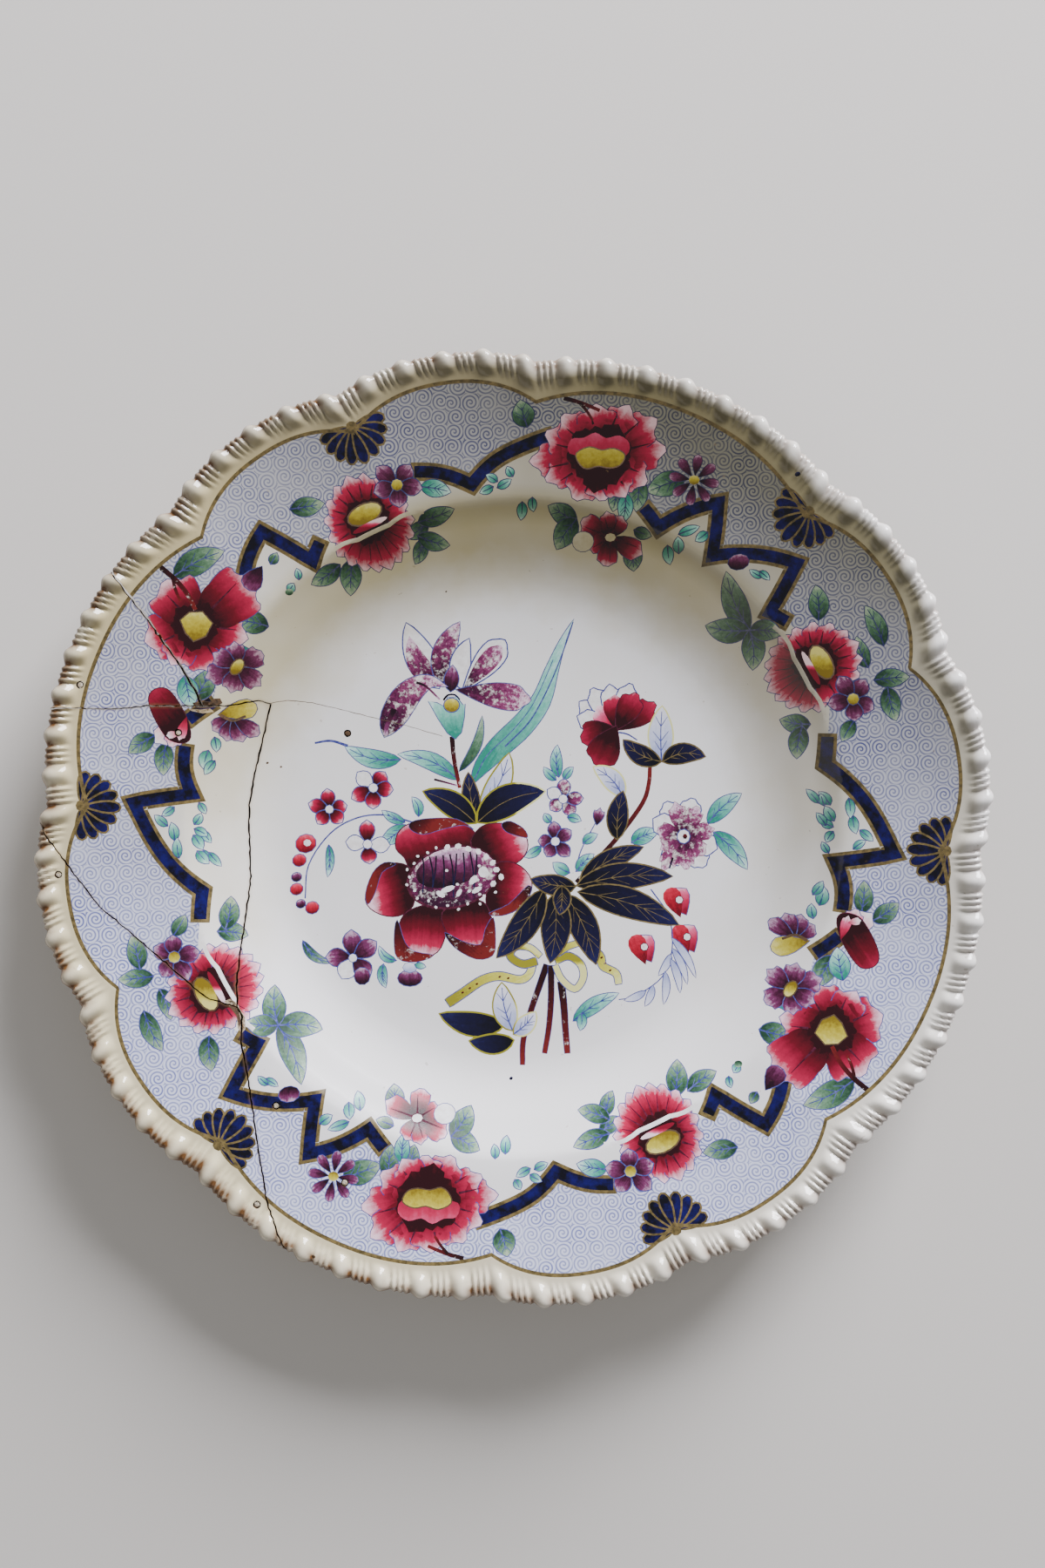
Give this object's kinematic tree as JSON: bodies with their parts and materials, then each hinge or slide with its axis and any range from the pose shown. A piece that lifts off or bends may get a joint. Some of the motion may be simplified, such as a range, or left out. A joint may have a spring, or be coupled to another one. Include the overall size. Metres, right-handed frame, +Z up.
{
  "type": "cracked and mended dinner plate",
  "caption": "Round dinner plate with a scalloped moulded edge, a wide rim and a shallow well, broken at one side and held together from behind by wire staples.",
  "frame": {"origin": "centre of the plate's outline, on the plane its foot ring stands on", "axes": "+Z up out of the decorated face, the shortest extent; +X to the right and +Y away for someone who sees the bow of the painted bunch nearest, so the broken side is at -X"},
  "size_m": [0.2634, 0.2634, 0.025],
  "materials": {
    "glazed_ware": "glossy lead-type glaze over painted flower decoration, stained with age",
    "staple_wire": "dull tarnished half-round wire",
    "hole_cement": "matt hardened cement, dirty at its edge"
  },
  "bodies": {
    "root": {"main_plate": "glazed_ware", "upper_left_piece": "glazed_ware", "left_piece": "glazed_ware", "lower_left_piece": "glazed_ware", "staple_upper_crack": "staple_wire", "staple_left_edge": "staple_wire", "staple_left_inner": "staple_wire", "staple_well_upper": "staple_wire", "staple_well_lower": "staple_wire", "staple_lower_inner": "staple_wire", "staple_lower_long": "staple_wire", "staple_side_edge": "staple_wire", "staple_side_inner": "staple_wire", "staple_hairline": "staple_wire", "cement_plug_1": "hole_cement", "cement_plug_2": "hole_cement", "cement_plug_3": "hole_cement", "cement_plug_4": "hole_cement", "cement_plug_5": "hole_cement", "cement_plug_6": "hole_cement", "cement_plug_7": "hole_cement"}
  },
  "joints": []
}
